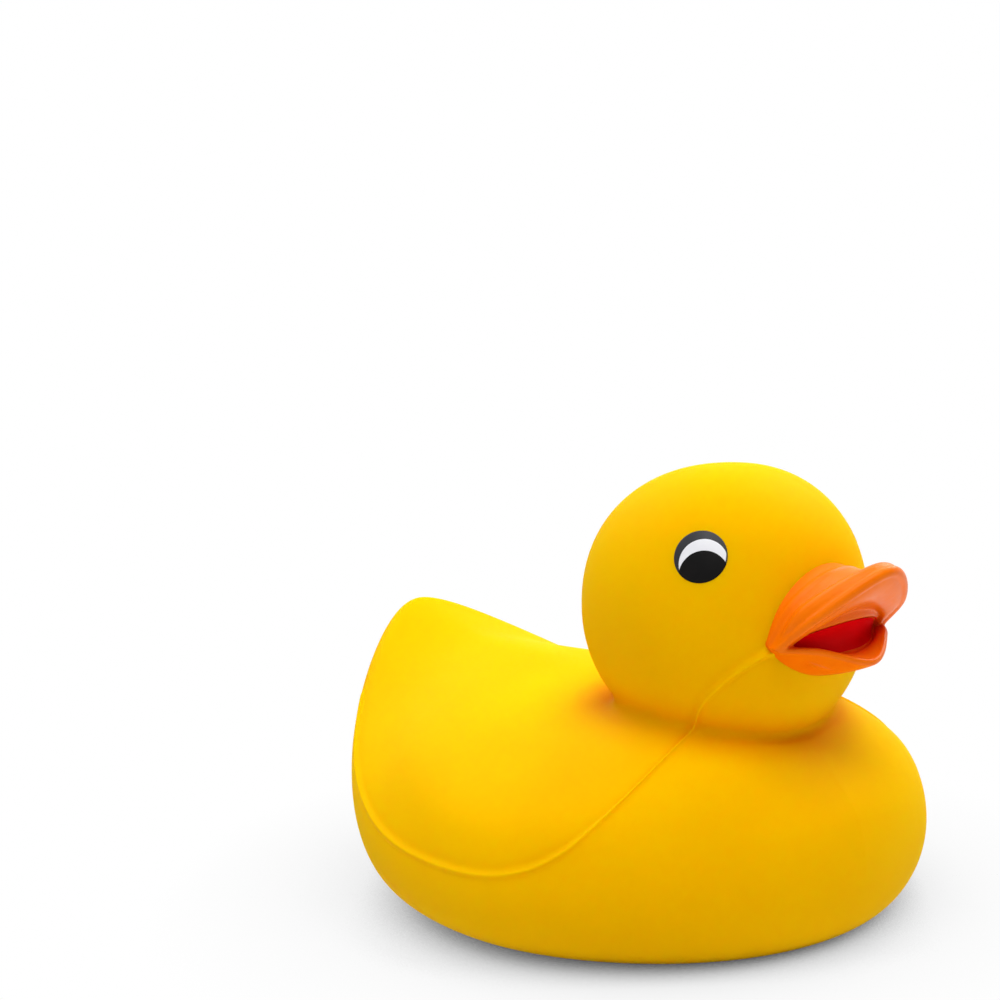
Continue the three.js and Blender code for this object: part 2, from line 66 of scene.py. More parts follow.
# Lean of the skin where it crosses that line, and the lip that opens at the tail, in degrees
FLANK_LEAN = 107.2
TAIL_TOP_ANGLE = 203.0
TAIL_UNDER_ANGLE = 96.2
TAIL_LIP_FOCUS = 4.0
FLANK_EDGE_ROUND = 1.0
TAIL_EDGE_ROUND = 2.4

# Pull of the profile's curves, as shares of their chords, and their angles at the neck in degrees
BELLY_PULL_BASE = 0.41
BELLY_PULL_FLANK = 0.51
BACK_PULL_FLANK = 0.26
TAIL_PULL_BASE = 0.44
TAIL_PULL_UNDER = 0.456
TAIL_PULL_TOP = 0.396
BREAST_PULL_NECK = 0.08
SIDE_PULL_NECK = 0.7
BACK_PULL_NECK = 0.8
BREAST_NECK_ANGLE = -0.6
SIDE_NECK_ANGLE = -30.3
BACK_NECK_ANGLE = 7.8

# Head, an egg about the neck's axis, and the crease where the neck meets it
NECK_X = 17.3
HEAD_Z = 39.3
HEAD_FRONT = 16.3
HEAD_REAR = 20.2
HEAD_WIDTH = 34.3
HEAD_TOP = 18.1
HEAD_UNDER = 17.8
HEAD_FULLNESS = 2.19
CREASE_FRONT_ANGLE = 51.4
CREASE_SIDE_ANGLE = 39.5
CREASE_REAR_ANGLE = 44.0
CREASE_FRONT_FILLET = 1.5
CREASE_SIDE_FILLET = 2.2
CREASE_REAR_FILLET = 3.0

# Bill: a hood over the mouth and a scoop under it, rooted in one oval on the face. Both are filled:
# the palate and the scoop's floor run from a smaller oval at the back of the mouth out to the rims.
# In each half, side is 1 over the mouth and -1 under it, and root_rise and root_point give the height
# of the oval and how pointed its top is. inner_rise is the height of the smaller oval, and inner_sag is
# how far the palate or floor bends forward and inward. rim_side (reach, width, rise) and rim_tip
# (reach, rise) place the rim from the corner of the mouth. lip is the thickness of the sheet. Each bead
# has its places on the sheet, from 0 at the root to 1 at the rim, and its diameters, both at the
# corner, the side and the tip, and the first bead is the rim's round edge. The angles are the lean of
# the sheet at its two ends, in degrees.
MOUTH_Z = HEAD_Z - 1.2
BILL_ROOT_WIDTH = 18.0
BILL_SINK = 1.0
CORNER_WIDTH = 18.5
CORNER_REACH = 2.0
CORNER_DROP = 0.27
CORNER_OPENING = 0.1
LIP_PULL = 0.33
MOUTH_WIDTH = 15.0
MOUTH_SINK = 0.5
HOOD = {
    "side": 1,
    "root_rise": 8.6,
    "root_point": 1.05,
    "inner_rise": 3.2,
    "inner_sag": (1.2, 0.8),
    "rim_side": (4.6, 14.9, 3.8),
    "rim_tip": (8.9, 8.4),
    "lip": 1.4,
    "beads": [
        ((1.0, 1.0, 1.0), (0.9, 1.3, 1.4)),
        ((0.75, 0.74, 0.88), (0.9, 3.0, 2.7)),
        ((0.33, 0.33, 0.33), (1.7, 1.7, 1.7)),
    ],
    "root_angle": -8,
    "rim_angle": 22,
}
SCOOP = {
    "side": -1,
    "root_rise": 4.9,
    "root_point": 1.4,
    "inner_rise": 1.9,
    "inner_sag": (0.0, 0.55),
    "rim_side": (3.1, 12.3, -0.6),
    "rim_tip": (6.3, -2.4),
    "lip": 1.1,
    "beads": [((1.0, 1.0, 1.0), (0.9, 0.9, 0.9))],
    "root_angle": -6,
    "rim_angle": -22,
}
BILL_VOXEL = 0.16
BILL_SMOOTHING = 4

# Mouth: the back wall inside the bill, a little before the face, and the throat pressed into it. The
# two powers set how near to their edges the wall and the paint fall away, and RING_CENTRE is the share
# of an oval at which its rings end.
MOUTH_WALL = 3.1
WALL_SINK = 3.0
WALL_POWER = 4
THROAT_DEPTH = 1.5
THROAT_WIDTH = 15.6
THROAT_HEIGHT = 4.6
THROAT_Z = MOUTH_Z - 0.1
THROAT_PAINT = 0.1
THROAT_PAINT_POWER = 8
RING_CENTRE = 0.01

# Eyes, printed in three thin films. A drop is measured down the head and a shift forward round it, and
# PUPIL_INSIDE is a drop and a shift to a place that lies in the pupil's circle and in the eye's.
EYE_AZIMUTH = 60.2
EYE_RISE = 9.2
EYE_DIAMETER = 6.3
EYE_RING = 0.16
EYE_WHITE_DIAMETER = 5.8
EYE_WHITE_DROP = 0.83
EYE_WHITE_SHIFT = 0.38
PUPIL_DIAMETER = 6.0
PUPIL_DROP = 2.35
PUPIL_SHIFT = 0.5
PUPIL_INSIDE = (1.0, 0.3)
FILM = 0.012

# Parting line of the mould, raised from a step beside the tail, and the vent in the head
PARTING_WIDTH = 0.6
PARTING_HEIGHT = 0.3
PARTING_GROOVE = 0.09
PARTING_GROOVE_WIDTH = 0.9
PARTING_START_X = -36.5
PARTING_STEP = 0.8
PARTING_NECK_X = 22.0
PARTING_NECK_Z = HEAD_Z - 12.9
SHOULDER_PULL = 0.66
SLANT_LEAST = 0.6
CHEEK_PULL = 0.3
PARTING_CORNER_DROP = 1.0
VENT_DIAMETER = 1.2
VENT_DEPTH = 4.0
VENT_AZIMUTH = 180
VENT_RISE = 11.6
VENT_FUNNEL = 0.25
VENT_FUNNEL_WIDTH = 2.4

# The faint line down the breast, with the width that gets more columns, and the soft unevenness of the
# foam, as crossing waves that slant over the body
BREAST_LINE_HEIGHT = 0.05
BREAST_LINE_WIDTH = 0.7
BREAST_LINE_SPAN = 1.75
BREAST_LINE_LOW = 6.0
BREAST_LINE_HIGH = 25.0
WAVE_HEIGHT = 0.05
WAVE_LENGTH = 17.0
WAVE_SLANTS = (0.4, 0.8, 0.6)

# How finely the skin is divided, with more rows in a band along the parting line and the crease, and
# how often a span is halved to find a place on the head
COLUMNS = 400
BREAST_COLUMNS = 6
ROWS = 200
FINE_STEPS = 300
ROUND_STEPS = 60
SEAM_CLOSENESS = 7.0
SEAM_BAND = 1.8
CREASE_CLOSENESS = 2.5
CREASE_BAND = 8.8
HALVINGS = 40

# Foam: its colours in blotches, the painted shade that turns it darker orange in its crease and
# hollows, the sizes of what is uneven in it, the light that wanders in its depth, and its sheen. A
# hollow has walls within its reach, and the painted shade starts and is full at two shares of open
# space.
FOAM_DARK = (0.91, 0.475, 0.0)
FOAM_LIGHT = (0.95, 0.515, 0.0)
FOAM_BLOTCH = 14.0
# Painted shade: a darker orange that the foam turns to where its crease and hollows lie in shade
FOAM_PAINTED_SHADE = (0.87, 0.27, 0.0)
FOAM_PAINTED_SHADE_REACH = 6.0
FOAM_PAINTED_SHADE_OPENNESS = (0.83, 0.5)
FOAM_PORE = 0.5
FOAM_ROUGHNESS = (0.5, 0.62)
FOAM_GRAIN = 0.25
FOAM_GRAIN_STRENGTH = 0.12
FOAM_GRAIN_DEPTH = 0.03
FOAM_GLOW = 0.5
FOAM_GLOW_REACH = 3.0
FOAM_GLOW_SHARES = (1.0, 0.35, 0.03)
FOAM_SHEEN = 0.012
FOAM_SHEEN_TINT = (1.0, 0.75, 0.05)
# Samples used to find the near walls where the painted shade goes
PAINTED_SHADE_SAMPLES = 3

# Paints: their colours from thick to thin and, on the bill, a painted shade in hollows, with their
# sheen and grain
PAINTS = {
    "bill_paint": {
        "dark": (0.94, 0.165, 0.0),
        "light": (0.98, 0.195, 0.0),
        # Painted shade: a darker orange in the bill's grooves, under its roll and at the corners of the
        # mouth
        "painted_shade": (0.72, 0.055, 0.0),
        "roughness": 0.36,
        "grain": 0.7,
        "sheen": 0.22,
        "tint": (1.0, 0.6, 0.35),
    },
    "mouth_paint": {
        "dark": (0.84, 0.0, 0.002),
        "light": (0.92, 0.002, 0.006),
        "roughness": 0.38,
        "grain": 0.7,
        "sheen": 0.05,
        "tint": (1.0, 0.5, 0.6),
    },
    "eye_black": {
        "dark": (0.014, 0.014, 0.017),
        "light": (0.026, 0.026, 0.031),
        "roughness": 0.4,
        "grain": 0.3,
        "sheen": 0.2,
    },
    "pupil": {
        "dark": (0.003, 0.003, 0.003),
        "light": (0.007, 0.006, 0.006),
        "roughness": 0.45,
        "grain": 0.3,
        "sheen": 0.06,
    },
    "eye_white": {
        "dark": (0.78, 0.78, 0.82),
        "light": (0.84, 0.84, 0.87),
        "roughness": 0.4,
        "grain": 0.3,
        "sheen": 0.3,
    },
}
PAINT_BLOTCH = 2.5
PAINT_PAINTED_SHADE_REACH = 2.5
PAINT_PAINTED_SHADE_OPENNESS = (0.75, 0.35)
PAINT_GLOSS = 0.8
PAINT_GLOSS_SPREAD = 0.05
PAINT_GRAIN_STRENGTH = 0.15
PAINT_GRAIN_DEPTH = 0.04

# Floor: the grey that its light comes back from, and the shadow on it, as how near the duck has to be
# and the grey that shows for each share of the sky left open
FLOOR_HALF = 3000.0
FLOOR_GREY = (0.8, 0.8, 0.8)
FLOOR_ROUGHNESS = 0.9
FLOOR_SHEEN = 0.1
SHADOW_REACH = 30.0
SHADOW_SAMPLES = 4
SHADOW_GREYS = ((0.0, 0.04), (0.25, 0.5), (0.47, 0.84), (0.75, 0.95), (0.95, 1.0))

# Lamps: soft boxes that look at the head, each with its azimuth, elevation and power in watts, and the
# white all round, dimmer as light than as a background
LAMP_DISTANCE = 800.0
LAMP_SIZE = 600.0
LAMPS = {"main": (-45, 70, 6.05), "left": (180, 45, 2.4), "right": (90, 45, 4.7)}
SKY_LIGHT = 0.12
SKY_WHITE = 1.0

# Camera, at the photograph's viewing angle; the shift sets the duck in the frame's lower right
CAMERA_TARGET = (9.23, 0.0, 32.26)
CAMERA_DISTANCE = 241.95
CAMERA_AZIMUTH = -45.0
CAMERA_ELEVATION = 12.1
CAMERA_ROLL = -1.77
CAMERA_LENS = 68.73
CAMERA_SENSOR = 36.0
CAMERA_NEAR = 10.0
CAMERA_SHIFT = (-0.188, 0.158)


# Small helpers for curves


def smoothstep(value, low, high):
    share = np.clip((value - low) / (high - low), 0, 1)
    return share * share * (3 - 2 * share)


def mix(start, end, share):
    return start + (end - start) * share


def bell(distance, width):
    """1 at no distance, a half at half the width, and soon 0 beyond."""
    return np.exp(-4 * math.log(2) * (distance / width) ** 2)


def bezier(points, shares):
    """Points at the given shares of Bezier curves. Each control point may be one point or many."""
    level = [np.asarray(p, float)[..., None, :] for p in points]
    shares = np.asarray(shares, float)[:, None]
    while len(level) > 1:
        level = [a + (b - a) * shares for a, b in zip(level, level[1:])]
    return level[0]


def lengths(curves):
    """Length along each curve up to each of its points."""
    steps = np.linalg.norm(np.diff(curves, axis=-2), axis=-1)
    zero = np.zeros(steps.shape[:-1] + (1,))
    return np.concatenate([zero, np.cumsum(steps, axis=-1)], axis=-1)


def at_lengths(curves, wanted):
    """Points at the wanted lengths along each curve."""
    along = lengths(curves)
    made = np.empty(wanted.shape + (curves.shape[-1],))
    for i, (curve, length) in enumerate(zip(curves, along)):
        for axis in range(curves.shape[-1]):
            made[i, :, axis] = np.interp(wanted[i], length, curve[:, axis])
    return made


def stretch(curves, start, end, count):
    """The part of each curve between two lengths, in evenly spaced points."""
    shares = np.linspace(0, 1, count)
    return at_lengths(curves, start[:, None] + (end - start)[:, None] * shares)


# The skin's form


def around(cosine, front, side, rear):
    """A value that changes smoothly around the body, by the cosine of the azimuth."""
    tilt = (front - rear) / 2
    bow = (front + rear) / 2 - side
    return side + tilt * cosine + bow * cosine**2


def egg_radius(azimuth, axis_x, widest_x, front_x, rear_x, width):
    """Distance from the axis to an egg made of two half ellipses that meet at its widest place."""
    cosine, sine = np.cos(azimuth), np.sin(azimuth)
    centre = widest_x - axis_x

    def reach(length):
        a = (cosine / length) ** 2 + (sine / (width / 2)) ** 2
        b = cosine * centre / length**2
        c = (centre / length) ** 2 - 1
        return (b + np.sqrt(np.maximum(b * b - a * c, 0))) / a

    ahead = reach(front_x - widest_x)
    return np.where(ahead * cosine >= centre, ahead, reach(widest_x - rear_x))


def head_radius(azimuth):
    return egg_radius(azimuth, NECK_X, NECK_X, NECK_X + HEAD_FRONT, NECK_X - HEAD_REAR, HEAD_WIDTH)


def body_outline(turn):
    """Body outline from above: round in front, drawn out to a point at the tail."""
    cosine, sine = np.cos(turn), np.sin(turn)
    length = np.where(cosine >= 0, BREAST_X - BODY_WIDEST_X, BODY_WIDEST_X - TAIL_X)
    tail_width = mix(np.abs(sine) ** (TAIL_TAPER - 1), 1, TAIL_BLUNTNESS)
    half_width = BODY_WIDTH / 2 * np.abs(sine) * mix(1, tail_width, smoothstep(-cosine, 0, 1))
    return BODY_WIDEST_X + length * cosine, np.sign(sine) * half_width


def fullest_z(x):
    """Height of the fullest line over the place x along the body."""
    behind = np.clip((FLANK_X - x) / (FLANK_X - TAIL_X), 0, 1)
    ahead = smoothstep(x, FLANK_X, BREAST_X)
    swept = behind**TAIL_SWEEP * (1 + TAIL_CREST * (1 - behind))
    return FLANK_Z + (TAIL_Z - FLANK_Z) * swept + (BREAST_Z - FLANK_Z) * ahead


def polar(length, degrees):
    angle = np.radians(degrees)
    return np.stack([length * np.cos(angle), length * np.sin(angle)], axis=-1)


def skin_profiles(turn):
    """The skin's profiles, from the base to the crown, as distances from the neck's axis and heights.

    Gives them with their azimuths, their lengths at the fullest line and at the neck's crease.
    """
    plan_x, plan_y = body_outline(turn)
    azimuth = np.arctan2(plan_y, plan_x - NECK_X)
    cosine = np.cos(azimuth)
    tail = np.maximum(-cosine, 0) ** TAIL_LIP_FOCUS
    half = BASE_LENGTH / 2
    base_radius = egg_radius(azimuth, NECK_X, BASE_WIDEST_X, half, -half, BASE_WIDTH)
    base = np.stack([base_radius, np.zeros_like(base_radius)], axis=-1)
    full = np.stack([np.hypot(plan_x - NECK_X, plan_y), fullest_z(plan_x)], axis=-1)
    radius = head_radius(azimuth)
    crease_angle = np.radians(
        around(cosine, CREASE_FRONT_ANGLE, CREASE_SIDE_ANGLE, CREASE_REAR_ANGLE)
    )

    def cheek_point(angle):
        return np.stack([radius * np.cos(angle), HEAD_Z - HEAD_UNDER * np.sin(angle)], axis=-1)

    def crown_point(angle):
        power = 2 / HEAD_FULLNESS
        height = HEAD_Z + HEAD_TOP * np.sin(angle) ** power
        return np.stack([radius * max(np.cos(angle), 0) ** power, np.full_like(radius, height)], -1)

    crease = cheek_point(crease_angle)
    crease_fillet = around(cosine, CREASE_FRONT_FILLET, CREASE_SIDE_FILLET, CREASE_REAR_FILLET)
    shares = np.linspace(0, 1, FINE_STEPS)
    chord = np.linalg.norm(full - base, axis=-1)
    under_lean = mix(FLANK_LEAN, TAIL_UNDER_ANGLE, tail)
    over_lean = mix(FLANK_LEAN, TAIL_TOP_ANGLE, tail)
    belly = bezier(
        [
            base,
            base + polar(mix(BELLY_PULL_BASE, TAIL_PULL_BASE, tail) * chord, 0 * tail),
            full - polar(mix(BELLY_PULL_FLANK, TAIL_PULL_UNDER, tail) * chord, under_lean),
            full,
        ],
        shares,
    )
    chord = np.linalg.norm(crease - full, axis=-1)
    neck_pull = around(cosine, BREAST_PULL_NECK, SIDE_PULL_NECK, BACK_PULL_NECK)
    neck_angle = around(cosine, BREAST_NECK_ANGLE, SIDE_NECK_ANGLE, BACK_NECK_ANGLE)
    back = bezier(
        [
            full,
            full + polar(mix(BACK_PULL_FLANK, TAIL_PULL_TOP, tail) * chord, over_lean),
            crease + polar(neck_pull * chord, neck_angle),
            crease,
        ],
        shares,
    )
    round_off = mix(FLANK_EDGE_ROUND, TAIL_EDGE_ROUND, tail)
    belly = stretch(belly, 0 * tail, lengths(belly)[:, -1] - round_off, FINE_STEPS)
    back = stretch(back, round_off, lengths(back)[:, -1] - crease_fillet, FINE_STEPS)
    edge = bezier([belly[:, -1], full, back[:, 0]], np.linspace(0, 1, ROUND_STEPS))
    cheek_start = crease_angle - crease_fillet / np.hypot(
        crease[:, 0], HEAD_UNDER * np.sin(crease_angle)
    )
    fillet = bezier(
        [back[:, -1], crease, cheek_point(cheek_start)], np.linspace(0, 1, ROUND_STEPS)
    )
    cheek = np.stack([cheek_point(cheek_start * (1 - s)) for s in shares], axis=1)
    crown = np.stack([crown_point(s * math.pi / 2) for s in shares], axis=1)
    profile = np.concatenate(
        [belly, edge[:, 1:], back[:, 1:], fillet[:, 1:], cheek[:, 1:], crown[:, 1:]], axis=1
    )
    along = lengths(profile)
    edge_place = belly.shape[1] + edge.shape[1] // 2 - 1
    crease_place = belly.shape[1] + edge.shape[1] + back.shape[1] + fillet.shape[1] // 2 - 3
    return profile, azimuth, along[:, edge_place], along[:, crease_place]


def parting_x(z):
    """Place along the body of the parting line at a height, from the flank to the mouth's corner."""
    shares = np.linspace(0, 1, FINE_STEPS)
    flank = np.array([FLANK_X, FLANK_Z])
    neck = np.array([PARTING_NECK_X, PARTING_NECK_Z])
    corner_z = MOUTH_Z - PARTING_CORNER_DROP
    corner = np.array([face_x(BILL_ROOT_WIDTH / 2, corner_z), corner_z])
    low_pull = np.array([FLANK_X + SHOULDER_PULL * (PARTING_NECK_X - FLANK_X), FLANK_Z])
    high_pull = np.array([neck[0], neck[1] + SHOULDER_PULL * (FLANK_Z - PARTING_NECK_Z)])
    bend = np.array([neck[0], neck[1] + CHEEK_PULL * (corner_z - neck[1])])
    line = np.concatenate(
        [bezier([flank, low_pull, high_pull, neck], shares), bezier([neck, bend, corner], shares)]
    )
    return np.interp(z, line[:, 1], line[:, 0])


def parting_lengths(profile, azimuth, edge_length):
    """Length along each profile at which the parting line crosses it."""
    along = lengths(profile)
    crossing = edge_length.copy()
    for i, (radius, height) in enumerate(np.moveaxis(profile, -1, 1)):
        x = NECK_X + radius * np.cos(azimuth[i])
        above = along[i] > edge_length[i]
        if x[~above][-1] <= FLANK_X:
            continue
        beyond = above & ((x < parting_x(height)) | (height > MOUTH_Z - PARTING_CORNER_DROP))
        crossing[i] = along[i][np.argmax(beyond)]
    return crossing


def skin_columns():
    """Turns of the skin's columns, with a few more across the line down the breast."""
    circle = 2 * math.pi
    turns = np.linspace(0, circle, COLUMNS, endpoint=False)
    close = np.linspace(0, BREAST_LINE_SPAN / BODY_WIDTH, BREAST_COLUMNS + 1)[1:]
    wide = turns[(turns > close[-1]) & (turns < circle - close[-1])]
    return np.sort(np.concatenate([[0], close, wide, circle - close]))


def grid_normals(points):
    """Outward directions of a grid of rows that run round and upwards."""
    along = np.roll(points, -1, axis=1) - np.roll(points, 1, axis=1)
    up = np.gradient(points, axis=0)
    normals = np.cross(along, up)
    return normals / np.maximum(np.linalg.norm(normals, axis=-1, keepdims=True), 1e-9)


def skin_heights(points, from_seam):
    """How far the skin stands out of its plain form, at each point of its grid."""
    x, y, z = np.moveaxis(points, -1, 0)
    ridge = PARTING_HEIGHT * bell(from_seam, PARTING_WIDTH)
    groove = PARTING_GROOVE * bell(from_seam - PARTING_GROOVE_WIDTH, PARTING_GROOVE_WIDTH)
    heights = (ridge - groove) * smoothstep(x, PARTING_START_X, PARTING_START_X + PARTING_STEP)
    line = smoothstep(z, BREAST_LINE_LOW, 2 * BREAST_LINE_LOW)
    line = line * smoothstep(-z, -BREAST_LINE_HIGH, BREAST_LINE_LOW - BREAST_LINE_HIGH)
    heights += BREAST_LINE_HEIGHT * line * bell(y, BREAST_LINE_WIDTH) * (x > NECK_X)
    body = smoothstep(-z, BREAST_Z - HEAD_Z, -BREAST_Z)
    wave = 2 * math.pi / WAVE_LENGTH
    lengthwise, crosswise, slantwise = WAVE_SLANTS
    waves = np.sin(wave * (x + lengthwise * z)) * np.sin(wave * (crosswise * y - z))
    waves += np.sin(wave * (y + slantwise * x))
    heights += WAVE_HEIGHT * waves * body * smoothstep(z, 0, FLANK_Z)
    vent, _ = head_place(VENT_AZIMUTH, VENT_RISE)
    heights -= VENT_FUNNEL * bell(np.linalg.norm(points - vent, axis=-1), VENT_FUNNEL_WIDTH)
    return heights


def skin_grid():
    """Rows of points of the skin, from the base to the crown."""
    profile, azimuth, edge_length, crease_length = skin_profiles(skin_columns())
    along = lengths(profile)
    seam_length = parting_lengths(profile, azimuth, edge_length)
    wanted = np.empty((len(profile), ROWS))
    for i, length in enumerate(along):
        closeness = (
            1
            + SEAM_CLOSENESS * bell(length - seam_length[i], SEAM_BAND)
            + CREASE_CLOSENESS * bell(length - crease_length[i], CREASE_BAND)
        )
        shares = np.concatenate([[0], np.cumsum(closeness[1:] * np.diff(length))])
        wanted[i] = np.interp(np.linspace(0, shares[-1], ROWS), shares, length)
    flat = at_lengths(profile, wanted)
    direction = np.stack([np.cos(azimuth), np.sin(azimuth)], axis=-1)
    points = np.empty((ROWS, len(profile), 3))
    points[..., :2] = flat[..., 0].T[..., None] * direction + (NECK_X, 0)
    points[..., 2] = flat[..., 1].T

    # The parting line's slant across the columns makes it narrower than it measures along them
    crossing = at_lengths(profile, seam_length[:, None])[:, 0]
    line = np.column_stack([crossing[:, :1] * direction + (NECK_X, 0), crossing[:, 1]])
    below = at_lengths(profile, seam_length[:, None] - PARTING_WIDTH)[:, 0]
    upward = line - np.column_stack([below[:, :1] * direction + (NECK_X, 0), below[:, 1]])
    upward /= np.linalg.norm(upward, axis=-1, keepdims=True)
    forward = np.roll(line, -1, axis=0) - np.roll(line, 1, axis=0)
    forward /= np.linalg.norm(forward, axis=-1, keepdims=True)
    slant = np.sqrt(1 - np.minimum((upward * forward).sum(-1) ** 2, 1))
    from_seam = (wanted - seam_length[:, None]) * np.maximum(slant, SLANT_LEAST)[:, None]

    points[:-1] += grid_normals(points)[:-1] * skin_heights(points, from_seam.T)[:-1, :, None]
    points[:, :, 2] = np.maximum(points[:, :, 2], 0)
    return points


# Places on the head


def face_x(y, z):
    """Front of the head at a place on the face."""
    height = np.where(np.asarray(z) >= HEAD_Z, HEAD_TOP, HEAD_UNDER)
    rest = 1 - (y / (HEAD_WIDTH / 2)) ** 2 - ((z - HEAD_Z) / height) ** 2
    return NECK_X + HEAD_FRONT * np.sqrt(np.maximum(rest, 0))


def head_place(azimuth_degrees, rise):
    """Place and outward direction on the upper half of the head."""
    azimuth = math.radians(azimuth_degrees)
    level = (1 - (rise / HEAD_TOP) ** HEAD_FULLNESS) ** (1 / HEAD_FULLNESS)
    radius = head_radius(azimuth) * level
    point = np.array([radius * math.cos(azimuth), radius * math.sin(azimuth), rise])
    length = HEAD_FRONT if math.cos(azimuth) >= 0 else HEAD_REAR
    normal = point / np.array([length, HEAD_WIDTH / 2, HEAD_TOP]) ** 2
    return point + (NECK_X, 0, HEAD_Z), normal / np.linalg.norm(normal)


def onto_head(points, direction):
    """Points moved along a direction until they lie on the upper half of the head."""
    low = np.full(len(points), -EYE_DIAMETER)
    high = np.full(len(points), EYE_DIAMETER)
    for _ in range(HALVINGS):
        middle = (low + high) / 2
        moved = points + middle[:, None] * direction - (NECK_X, 0, HEAD_Z)
        radius = np.hypot(moved[:, 0], moved[:, 1])
        share = radius / head_radius(np.arctan2(moved[:, 1], moved[:, 0]))
        outside = share**HEAD_FULLNESS + np.abs(moved[:, 2] / HEAD_TOP) ** HEAD_FULLNESS > 1
        high = np.where(outside, middle, high)
        low = np.where(outside, low, middle)
    return points + low[:, None] * direction


# Meshes


def make_object(name, points, faces):
    """A smooth mesh object from points in millimetres."""
    mesh = bpy.data.meshes.new(name)
    mesh.from_pydata((np.asarray(points).reshape(-1, 3) * MM).tolist(), [], faces)
    mesh.polygons.foreach_set("use_smooth", [True] * len(mesh.polygons))
    mesh.update()
    made = bpy.data.objects.new(name, mesh)
    bpy.context.scene.collection.objects.link(made)
    return made


def ring_faces(rows, columns):
    """Quads of a grid whose rows are closed rings."""
    index = np.arange(rows * columns).reshape(rows, columns)
    ahead = np.roll(index, -1, axis=1)
    quads = np.stack([index[:-1], ahead[:-1], ahead[1:], index[1:]], axis=-1)
    return quads.reshape(-1, 4).tolist()


def closed_tube(rings):
    """Points and faces of a solid through closed rings, with flat ends."""
    rings = np.asarray(rings)
    rows, columns = rings.shape[:2]
    faces = ring_faces(rows, columns)
    faces.append(list(range(columns))[::-1])
    faces.append(list(range((rows - 1) * columns, rows * columns)))
    return rings.reshape(-1, 3), faces


def joined(parts):
    """Points and faces of several solids in one."""
    points, faces, start = [], [], 0
    for part_points, part_faces in parts:
        points.append(part_points)
        faces += [[start + i for i in face] for face in part_faces]
        start += len(part_points)
    return np.concatenate(points), faces


def apply_modifiers(piece):
    """Replaces a piece's mesh by what its modifiers make of it."""
    bpy.context.view_layer.update()
    evaluated = piece.evaluated_get(bpy.context.evaluated_depsgraph_get())
    mesh = bpy.data.meshes.new_from_object(evaluated)
    piece.modifiers.clear()
    piece.data = mesh
    mesh.polygons.foreach_set("use_smooth", [True] * len(mesh.polygons))


def cut(piece, cutter):
    """Takes the cutter's solid out of a piece."""
    modifier = piece.modifiers.new("cut", "BOOLEAN")
    modifier.operation = "DIFFERENCE"
    modifier.solver = "MANIFOLD"
    modifier.object = cutter
    apply_modifiers(piece)
    bpy.data.objects.remove(cutter)


def round_bar(point, direction, diameter, depth, segments=32):
    """A round bar through a place, as a cutter."""
    across = np.cross(direction, (0, 1, 0))
    across /= np.linalg.norm(across)
    upward = np.cross(direction, across)
    angles = np.linspace(0, 2 * math.pi, segments, endpoint=False)[:, None]
    ring = point + diameter / 2 * (np.cos(angles) * across + np.sin(angles) * upward)
    return make_object("bar", *closed_tube([ring - depth * direction, ring + depth * direction]))


# Pieces


def make_skin():
    grid = skin_grid()
    rows, columns = grid.shape[:2]
    points, faces = closed_tube(grid[:-1])
    top = grid[-1].mean(axis=0)
    crown = len(points)
    last = (rows - 2) * columns
    faces.pop()
    faces += [[last + i, last + (i + 1) % columns, crown] for i in range(columns)]
    skin = make_object("foam_skin", np.vstack([points, top]), faces)
    vent, direction = head_place(VENT_AZIMUTH, VENT_RISE)
    cut(skin, round_bar(vent, direction, VENT_DIAMETER, VENT_DEPTH))
    return skin


def spline(points, shares):
    """Centripetal Catmull-Rom curve through the points."""
    points = np.asarray(points, float)
    ends = [2 * points[0] - points[1], *points, 2 * points[-1] - points[-2]]
    made = []
    for share in shares:
        place = share * (len(points) - 1)
        start = min(int(place), len(points) - 2)
        p0, p1, p2, p3 = ends[start : start + 4]
        gaps = [math.sqrt(np.linalg.norm(b - a)) for a, b in ((p0, p1), (p1, p2), (p2, p3))]
        out = (p1 - p0) / gaps[0] - (p2 - p0) / (gaps[0] + gaps[1]) + (p2 - p1) / gaps[1]
        into = (p2 - p1) / gaps[1] - (p3 - p1) / (gaps[1] + gaps[2]) + (p3 - p2) / gaps[2]
        out, into = out * gaps[1] / 3, into * gaps[1] / 3
        made.append(bezier([p1, p1 + out, p2 - into, p2], [place - start])[0])
    return np.array(made)


def rim(half, shares):
    """Rim of one half of the bill, from the right corner of the mouth over the tip to the left one."""
    corner_x = face_x(CORNER_WIDTH / 2, MOUTH_Z) + CORNER_REACH
    side_reach, side_width, side_rise = half["rim_side"]
    tip_reach, tip_rise = half["rim_tip"]
    corner_z = MOUTH_Z - CORNER_DROP + half["side"] * CORNER_OPENING / 2
    corner = (corner_x, CORNER_WIDTH / 2, corner_z)
    side = (corner_x + side_reach, side_width / 2, MOUTH_Z + side_rise)
    tip = (corner_x + tip_reach, 0, MOUTH_Z + tip_rise)
    across = np.array([1, -1, 1])
    return spline([corner * across, side * across, tip, side, corner], shares)


def along_rim(values, shares):
    """A value along the rim, from its values at the corner, the side and the tip."""
    return around(np.cos(2 * math.pi * shares), *values)


